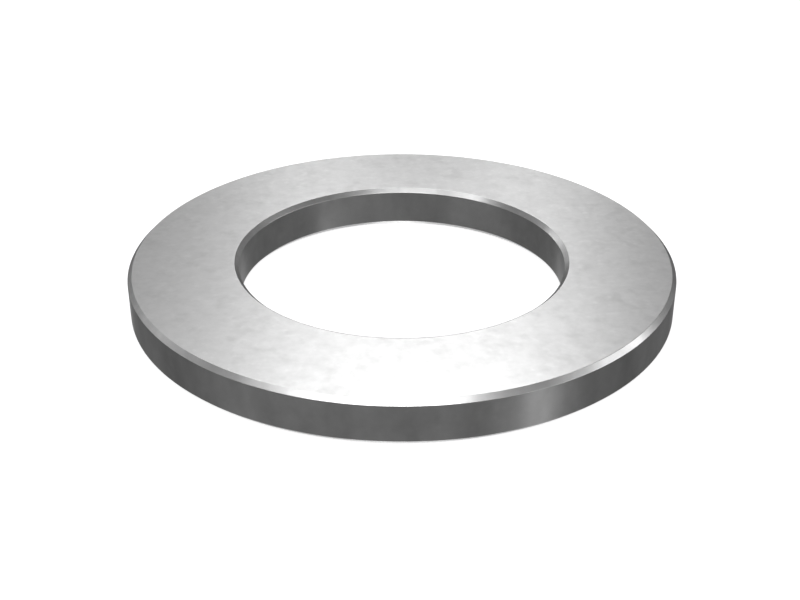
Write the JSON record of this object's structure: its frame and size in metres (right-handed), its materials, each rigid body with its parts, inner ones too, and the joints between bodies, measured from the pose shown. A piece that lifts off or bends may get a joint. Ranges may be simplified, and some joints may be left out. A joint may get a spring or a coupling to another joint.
{
  "type": "flat washer",
  "caption": "Plain flat steel washer with small chamfers on every rim; spreads a bolt head's or nut's load round its clearance hole.",
  "frame": {"origin": "centre of the bore on the lower bearing face, which the washer lies on", "axes": "+Z along the bore, from the lower bearing face to the upper one; the washer is round about Z, so X and Y are any two directions across it"},
  "size_m": [0.025, 0.025, 0.002],
  "materials": {
    "steel": "bright bare steel, satin: the flat faces softly clouded, the bore and the outside with faint streaks along the axis, the rims a little smoother"
  },
  "bodies": {
    "root": {"washer": "steel"}
  },
  "joints": []
}
